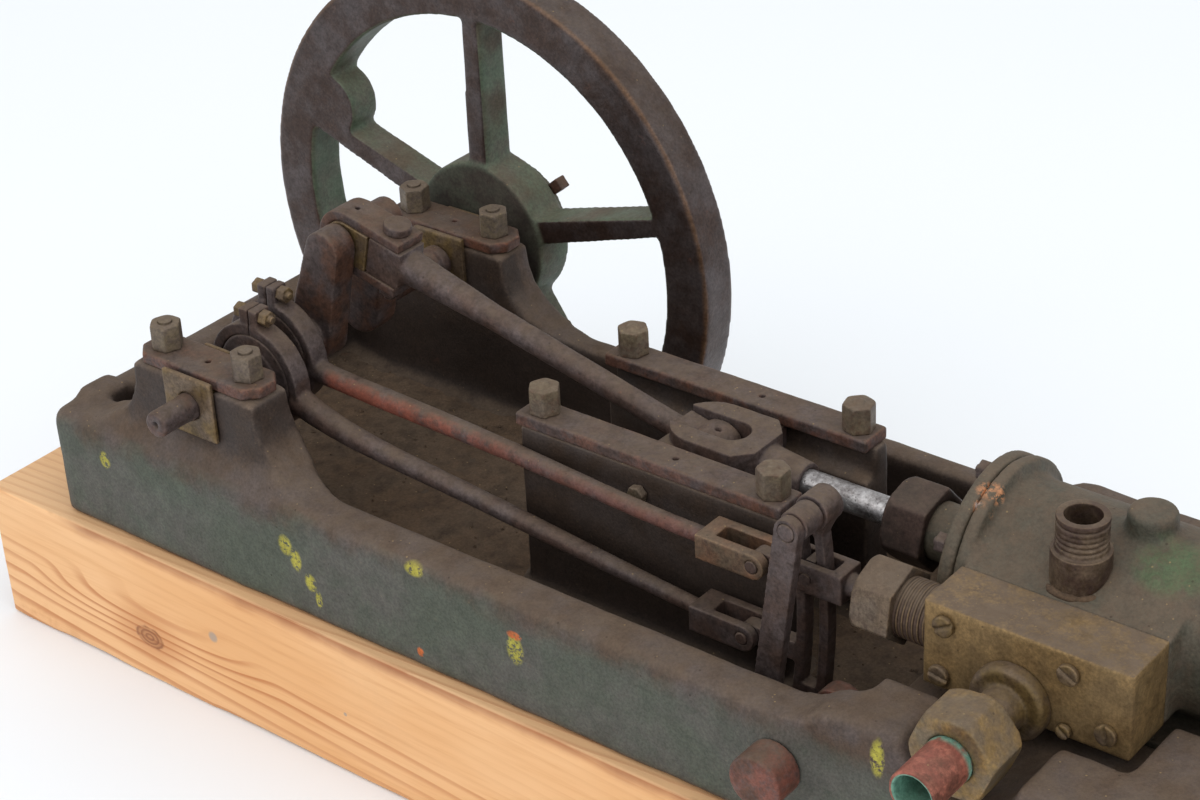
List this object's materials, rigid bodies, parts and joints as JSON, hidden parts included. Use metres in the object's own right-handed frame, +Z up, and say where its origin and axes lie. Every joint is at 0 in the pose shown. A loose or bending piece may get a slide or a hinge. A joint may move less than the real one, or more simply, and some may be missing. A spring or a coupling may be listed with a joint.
{
  "type": "model mill steam engine",
  "caption": "Horizontal single-cylinder model steam engine with flywheel, link reversing gear and crosshead guides, on a cast bed over a timber block.",
  "frame": {"origin": "middle of the underside of the timber block", "axes": "+X from the crank to the cylinder, +Y from the eccentrics to the flywheel, +Z up"},
  "size_m": [0.4489, 0.176, 0.189],
  "materials": {
    "timber_plinth": "sawn softwood, unfinished",
    "bedplate": "dark green paint, worn and dusty",
    "near_bearing_brass": "tarnished and dusty",
    "far_bearing_brass": "tarnished and dusty",
    "near_bearing_cap": "aged steel with rust",
    "far_bearing_cap": "aged steel with rust",
    "bearing_cap_studs": "aged steel with rust",
    "bearing_cap_nuts": "aged steel with rust",
    "near_guide_bar": "aged steel with rust",
    "far_guide_bar": "aged steel with rust",
    "guide_bar_fasteners": "aged steel with rust",
    "guide_side_bolts": "aged steel with rust",
    "cylinder": "worn paint over iron",
    "front_cover": "worn paint over iron",
    "rear_cover": "worn paint over iron",
    "cover_studs": "aged steel with rust",
    "piston_gland_nut": "tarnished and dusty",
    "steam_chest": "tarnished and dusty",
    "chest_screws": "tarnished and dusty",
    "valve_gland_nut": "tarnished and dusty",
    "steam_inlet": "tarnished and dusty",
    "exhaust_stub": "tarnished and dusty",
    "exhaust_union_nut": "tarnished and dusty",
    "exhaust_pipe": "oxidised copper with verdigris",
    "cylinder_foot_screws": "aged steel with rust",
    "near_crankshaft_half": "aged steel with rust",
    "far_crankshaft_half": "aged steel with rust",
    "flywheel": "worn paint over iron",
    "flywheel_set_screw": "aged steel with rust",
    "near_eccentric_sheave": "aged steel with rust",
    "far_eccentric_sheave": "aged steel with rust",
    "lower_eccentric_rod": "aged steel with rust",
    "near_strap_back_half": "aged steel with rust",
    "near_strap_bolts": "aged steel with rust",
    "lower_rod_fork": "aged steel with rust",
    "lower_fork_pins": "aged steel with rust",
    "upper_eccentric_rod": "aged steel with rust",
    "far_strap_back_half": "aged steel with rust",
    "far_strap_bolts": "aged steel with rust",
    "upper_rod_fork": "tarnished and dusty",
    "upper_fork_pins": "aged steel with rust",
    "crosshead": "aged steel with rust",
    "crosshead_pin": "aged steel with rust",
    "piston_rod": "ground, lightly pitted",
    "piston": "tarnished and dusty",
    "piston_rings": "aged steel with rust",
    "connecting_rod": "aged steel with rust",
    "big_end_strap": "aged steel with rust",
    "big_end_brasses": "tarnished and dusty",
    "big_end_bolt": "aged steel with rust",
    "crank_pin": "aged steel with rust",
    "reversing_shaft": "aged steel with rust",
    "lifting_arm_pin": "aged steel with rust",
    "drop_link": "aged steel with rust",
    "expansion_link": "aged steel with rust",
    "link_hanger_pin": "aged steel with rust",
    "die_block": "tarnished and dusty",
    "valve_rod": "aged steel with rust",
    "valve_fork_pins": "aged steel with rust",
    "slide_valve": "tarnished and dusty"
  },
  "bodies": {
    "engine_bed": {"timber_plinth": "timber_plinth", "bedplate": "bedplate", "near_bearing_brass": "near_bearing_brass", "far_bearing_brass": "far_bearing_brass", "near_bearing_cap": "near_bearing_cap", "far_bearing_cap": "far_bearing_cap", "bearing_cap_studs": "bearing_cap_studs", "bearing_cap_nuts": "bearing_cap_nuts", "near_guide_bar": "near_guide_bar", "far_guide_bar": "far_guide_bar", "guide_bar_fasteners": "guide_bar_fasteners", "guide_side_bolts": "guide_side_bolts", "cylinder": "cylinder", "front_cover": "front_cover", "rear_cover": "rear_cover", "cover_studs": "cover_studs", "piston_gland_nut": "piston_gland_nut", "steam_chest": "steam_chest", "chest_screws": "chest_screws", "valve_gland_nut": "valve_gland_nut", "steam_inlet": "steam_inlet", "exhaust_stub": "exhaust_stub", "exhaust_union_nut": "exhaust_union_nut", "exhaust_pipe": "exhaust_pipe", "cylinder_foot_screws": "cylinder_foot_screws"},
    "crankshaft": {"near_crankshaft_half": "near_crankshaft_half", "far_crankshaft_half": "far_crankshaft_half", "flywheel": "flywheel", "flywheel_set_screw": "flywheel_set_screw", "near_eccentric_sheave": "near_eccentric_sheave", "far_eccentric_sheave": "far_eccentric_sheave"},
    "lower_rod_gear": {"lower_eccentric_rod": "lower_eccentric_rod", "near_strap_back_half": "near_strap_back_half", "near_strap_bolts": "near_strap_bolts", "lower_rod_fork": "lower_rod_fork", "lower_fork_pins": "lower_fork_pins"},
    "upper_rod_gear": {"upper_eccentric_rod": "upper_eccentric_rod", "far_strap_back_half": "far_strap_back_half", "far_strap_bolts": "far_strap_bolts", "upper_rod_fork": "upper_rod_fork", "upper_fork_pins": "upper_fork_pins"},
    "crosshead_and_piston": {"crosshead": "crosshead", "crosshead_pin": "crosshead_pin", "piston_rod": "piston_rod", "piston": "piston", "piston_rings": "piston_rings"},
    "connecting_rod_group": {"connecting_rod": "connecting_rod", "big_end_strap": "big_end_strap", "big_end_brasses": "big_end_brasses", "big_end_bolt": "big_end_bolt", "crank_pin": "crank_pin"},
    "reversing_shaft_group": {"reversing_shaft": "reversing_shaft", "lifting_arm_pin": "lifting_arm_pin"},
    "drop_link_group": {"drop_link": "drop_link"},
    "expansion_link_group": {"expansion_link": "expansion_link", "link_hanger_pin": "link_hanger_pin"},
    "die_group": {"die_block": "die_block"},
    "valve_rod_group": {"valve_rod": "valve_rod", "valve_fork_pins": "valve_fork_pins", "slide_valve": "slide_valve"}
  },
  "joints": [
    {"name": "crankshaft_spin", "type": "hinge", "parent": "engine_bed", "child": "crankshaft", "pos_m": [-0.13575, 0.02625, 0.1001], "axis": [0, 1, 0], "continuous": true},
    {"name": "lower_rod_on_sheave", "type": "hinge", "parent": "crankshaft", "child": "lower_rod_gear", "pos_m": [-0.13382, -0.03075, 0.09867], "axis": [0, 1, 0], "continuous": true},
    {"name": "upper_rod_on_sheave", "type": "hinge", "parent": "crankshaft", "child": "upper_rod_gear", "pos_m": [-0.13815, -0.01875, 0.09995], "axis": [0, 1, 0], "continuous": true},
    {"name": "crosshead_slide", "type": "slide", "parent": "engine_bed", "child": "crosshead_and_piston", "axis": [1, 0, 0], "range_m": [-0.03725, 0.02625]},
    {"name": "connecting_rod_swing", "type": "hinge", "parent": "crosshead_and_piston", "child": "connecting_rod_group", "pos_m": [0.00315, 0.00625, 0.1001], "axis": [0, 1, 0], "range_deg": [-26.96, 0.58]},
    {"name": "reversing_shaft_turn", "type": "hinge", "parent": "engine_bed", "child": "reversing_shaft_group", "pos_m": [0.07325, -0.05375, 0.0691], "axis": [0, 1, 0], "range_deg": [0, 56]},
    {"name": "drop_link_swing", "type": "hinge", "parent": "reversing_shaft_group", "child": "drop_link_group", "pos_m": [0.05175, -0.03975, 0.0575], "axis": [0, 1, 0], "range_deg": [-56, 0]},
    {"name": "expansion_link_swing", "type": "hinge", "parent": "drop_link_group", "child": "expansion_link_group", "pos_m": [0.06075, -0.02875, 0.1199], "axis": [0, 1, 0], "range_deg": [-3, 0.5]},
    {"name": "die_block_slide", "type": "slide", "parent": "expansion_link_group", "child": "die_group", "axis": [0, 0, 1], "range_m": [-0.02304, 0]},
    {"name": "valve_rod_slide", "type": "slide", "parent": "engine_bed", "child": "valve_rod_group", "axis": [1, 0, 0], "range_m": [0, 0.0048]}
  ],
  "couplings": [
    {"joint": "lower_rod_on_sheave", "follows": "crankshaft_spin", "ratio": -1},
    {"joint": "upper_rod_on_sheave", "follows": "crankshaft_spin", "ratio": -1},
    {"joint": "drop_link_swing", "follows": "reversing_shaft_turn", "ratio": -1},
    {"joint": "die_block_slide", "follows": "reversing_shaft_turn", "m_per_rad": -0.023469}
  ]
}
